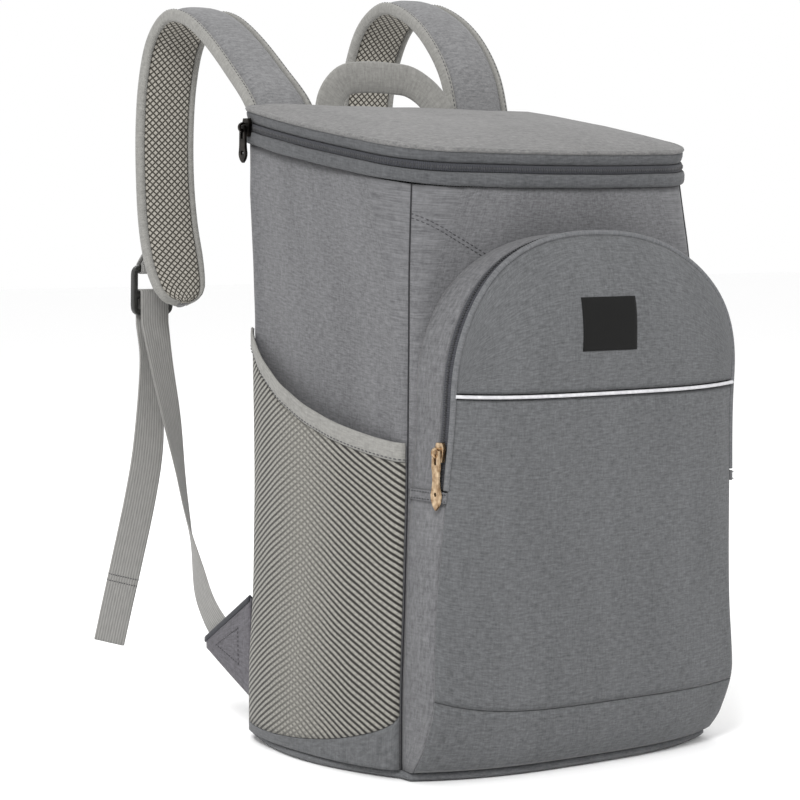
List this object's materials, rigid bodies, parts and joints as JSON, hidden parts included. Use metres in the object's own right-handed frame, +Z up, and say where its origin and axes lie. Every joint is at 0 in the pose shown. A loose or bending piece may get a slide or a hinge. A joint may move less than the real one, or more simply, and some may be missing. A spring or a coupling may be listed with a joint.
{
  "type": "cooler backpack",
  "caption": "Box-shaped insulated cooler backpack with a zipped lid, an arched front pocket, net side pockets, padded shoulder straps and a carry handle.",
  "frame": {"origin": "the middle of the main box, on the flat face that it stands on", "axes": "+Z up, -Y out of the front pocket, +X on the right when the front is looked at; the shoulder straps hang behind, towards +Y"},
  "size_m": [0.3024, 0.5423, 0.5428],
  "materials": {
    "body": "heathered grey polyester",
    "pocket": "darker heathered grey polyester",
    "lid": "heathered grey polyester, lighter from above",
    "webbing": "light grey ribbed webbing and binding",
    "net": "warm grey knitted net",
    "tape": "dark grey coil zip tape",
    "patch": "matt black label, bare",
    "reflective": "pale reflective piping",
    "brass": "antique brass",
    "black_metal": "black coated metal",
    "plastic": "black moulded nylon",
    "wing": "grey polyester, stitched double"
  },
  "bodies": {
    "bag": {"base_panel": "body", "back_panel": "net", "side_panel_left": "body", "side_panel_right": "body", "front_panel": "body", "body_rim": "body", "lid_zipper": "tape", "lid_panel": "lid", "lid_slider": "black_metal", "pocket_base_panel": "pocket", "pocket_lower_panel": "pocket", "pocket_upper_panel": "pocket", "reflective_piping": "reflective", "patch": "patch", "pocket_gusset": "pocket", "pocket_zipper": "tape", "pocket_piping": "body", "pocket_slider": "brass", "carry_handle": "webbing", "zipper_tab_left": "pocket", "mesh_base_left": "body", "mesh_pocket_left": "net", "mesh_binding_left": "webbing", "strap_pad_left": "body", "strap_mesh_left": "net", "strap_binding_inner_left": "webbing", "strap_binding_outer_left": "webbing", "buckle_left": "plastic", "buckle_loop_left": "webbing", "wing_left": "wing", "wing_binding_left": "tape", "webbing_left": "webbing", "zipper_tab_right": "pocket", "mesh_base_right": "body", "mesh_pocket_right": "net", "mesh_binding_right": "webbing", "strap_pad_right": "body", "strap_mesh_right": "net", "strap_binding_inner_right": "webbing", "strap_binding_outer_right": "webbing", "buckle_right": "plastic", "buckle_loop_right": "webbing", "wing_right": "wing", "wing_binding_right": "tape", "webbing_right": "webbing"},
    "pocket_pull": {"pocket_pull": "brass"},
    "lid_pull": {"lid_pull": "black_metal"}
  },
  "joints": [
    {"name": "pocket_pull_swing", "type": "hinge", "parent": "bag", "child": "pocket_pull", "pos_m": [-0.1285, -0.1301, 0.222], "axis": [0, 1, 0], "range_deg": [0, 150]},
    {"name": "lid_pull_swing", "type": "hinge", "parent": "bag", "child": "lid_pull", "pos_m": [-0.14104, 0.084, 0.43764], "axis": [0, 1, 0], "range_deg": [0, 150]}
  ]
}
